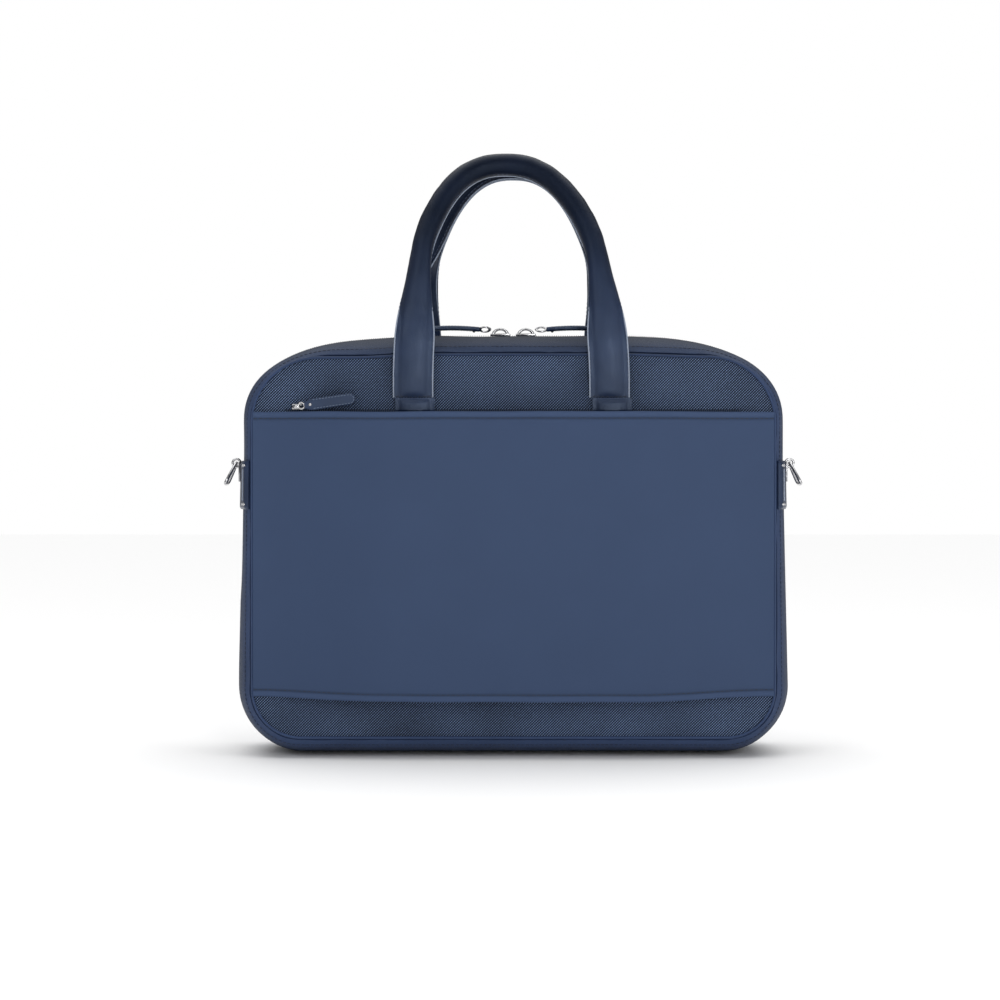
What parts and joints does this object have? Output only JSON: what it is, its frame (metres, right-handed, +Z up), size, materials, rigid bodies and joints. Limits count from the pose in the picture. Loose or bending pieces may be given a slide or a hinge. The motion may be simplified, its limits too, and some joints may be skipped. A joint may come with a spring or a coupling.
{
  "type": "laptop briefcase with trolley sleeve",
  "caption": "Soft laptop briefcase with leather carrying handles, a zipped main compartment that opens wide, strap rings, and a rear sleeve that slips over the pull handle of a wheeled case.",
  "frame": {"origin": "under the middle of the bag, on the surface that it stands on", "axes": "+Z up, X along the bag's width, the trolley sleeve's side faces -Y and the pocket's side faces +Y"},
  "size_m": [0.4324, 0.126, 0.4452],
  "materials": {
    "woven_cloth": "dark navy dobby weave with fine lighter dots",
    "smooth_cloth": "plain navy nylon, satin",
    "sleeve_cloth": "smooth slate-blue satin nylon",
    "leather": "very dark navy leather, fine grain, soft sheen",
    "tape": "navy woven zip tape",
    "metal": "polished nickel",
    "foam": "soft foam padding",
    "lining": "plain woven lining",
    "board": "stiff plastic board"
  },
  "bodies": {
    "bag": {"rear_panel": "woven_cloth", "rear_foam": "foam", "rear_lining": "lining", "lower_gusset": "smooth_cloth", "rear_top_gusset": "smooth_cloth", "gusset_lining": "lining", "rear_piping": "smooth_cloth", "front_panel_lower": "woven_cloth", "front_foam_lower": "foam", "front_lining_lower": "lining", "front_piping_lower": "smooth_cloth", "base_board": "board", "laptop_divider": "lining", "organiser_pocket": "lining", "laptop_strap": "tape", "rear_zip_tape": "tape", "trolley_sleeve": "sleeve_cloth", "rear_pocket_zip": "tape", "front_pocket_panel": "woven_cloth", "front_pocket_zip": "tape", "rear_handle_anchor_left": "leather", "rear_handle_anchor_right": "leather", "side_tab_left": "leather", "side_tab_right": "leather", "strap_eye_left": "metal", "strap_eye_right": "metal"},
    "mouth_flap": {"front_panel_upper": "woven_cloth", "front_foam_upper": "foam", "front_lining_upper": "lining", "front_top_gusset": "smooth_cloth", "front_piping_upper": "smooth_cloth", "front_zip_tape": "tape", "front_handle_anchor_left": "leather", "front_handle_anchor_right": "leather"},
    "rear_handle": {"rear_handle": "leather"},
    "front_handle": {"front_handle": "leather"},
    "top_slider_left": {"top_slider_left": "metal"},
    "top_slider_right": {"top_slider_right": "metal"},
    "top_puller_left": {"top_left_link": "metal", "top_left_puller": "leather"},
    "top_puller_right": {"top_right_link": "metal", "top_right_puller": "leather"},
    "rear_pocket_slider": {"rear_pocket_slider": "metal"},
    "rear_pocket_puller": {"rear_pocket_link": "metal", "rear_pocket_puller": "leather"},
    "front_pocket_slider": {"front_pocket_slider": "metal"},
    "front_pocket_puller": {"front_pocket_link": "metal", "front_pocket_puller": "leather"},
    "strap_ring_left": {"strap_ring_left": "metal"},
    "strap_ring_right": {"strap_ring_right": "metal"}
  },
  "joints": [
    {"name": "mouth_fold", "type": "hinge", "parent": "bag", "child": "mouth_flap", "pos_m": [0, 0.0552, 0.218], "axis": [-1, 0, 0], "range_deg": [0, 35]},
    {"name": "rear_handle_fold", "type": "hinge", "parent": "bag", "child": "rear_handle", "pos_m": [0, -0.0526, 0.2623], "axis": [1, 0, 0], "range_deg": [0, 120]},
    {"name": "front_handle_fold", "type": "hinge", "parent": "mouth_flap", "child": "front_handle", "pos_m": [0, 0.0598, 0.2623], "axis": [-1, 0, 0], "range_deg": [0, 120]},
    {"name": "top_slider_left_slide", "type": "slide", "parent": "bag", "child": "top_slider_left", "axis": [-1, 0, 0], "range_m": [0, 0.105]},
    {"name": "top_slider_right_slide", "type": "slide", "parent": "bag", "child": "top_slider_right", "axis": [1, 0, 0], "range_m": [0, 0.105]},
    {"name": "top_puller_left_lift", "type": "hinge", "parent": "top_slider_left", "child": "top_puller_left", "pos_m": [-0.0165, -0.0007, 0.3149], "axis": [0, 1, 0], "range_deg": [0, 90]},
    {"name": "top_puller_right_lift", "type": "hinge", "parent": "top_slider_right", "child": "top_puller_right", "pos_m": [0.0165, -0.0007, 0.3149], "axis": [0, -1, 0], "range_deg": [0, 90]},
    {"name": "rear_pocket_slider_slide", "type": "slide", "parent": "bag", "child": "rear_pocket_slider", "axis": [1, 0, 0], "range_m": [0, 0.305]},
    {"name": "rear_pocket_puller_lift", "type": "hinge", "parent": "rear_pocket_slider", "child": "rear_pocket_puller", "pos_m": [-0.152, -0.0546, 0.2563], "axis": [0, -1, 0], "range_deg": [0, 100]},
    {"name": "front_pocket_slider_slide", "type": "slide", "parent": "bag", "child": "front_pocket_slider", "axis": [1, 0, 0], "range_m": [0, 0.3]},
    {"name": "front_pocket_puller_swing", "type": "hinge", "parent": "front_pocket_slider", "child": "front_pocket_puller", "pos_m": [-0.145, 0.0618, 0.2013], "axis": [0, -1, 0], "range_deg": [0, 98]},
    {"name": "strap_ring_left_swing", "type": "hinge", "parent": "bag", "child": "strap_ring_left", "pos_m": [-0.20763, 0.0038, 0.215], "axis": [0, 1, 0], "range_deg": [0, 110]},
    {"name": "strap_ring_right_swing", "type": "hinge", "parent": "bag", "child": "strap_ring_right", "pos_m": [0.20763, 0.0038, 0.215], "axis": [0, -1, 0], "range_deg": [0, 110]}
  ],
  "couplings": [
    {"joint": "top_slider_left_slide", "follows": "mouth_fold", "m_per_rad": 0.1718},
    {"joint": "top_slider_right_slide", "follows": "mouth_fold", "m_per_rad": 0.1718}
  ]
}
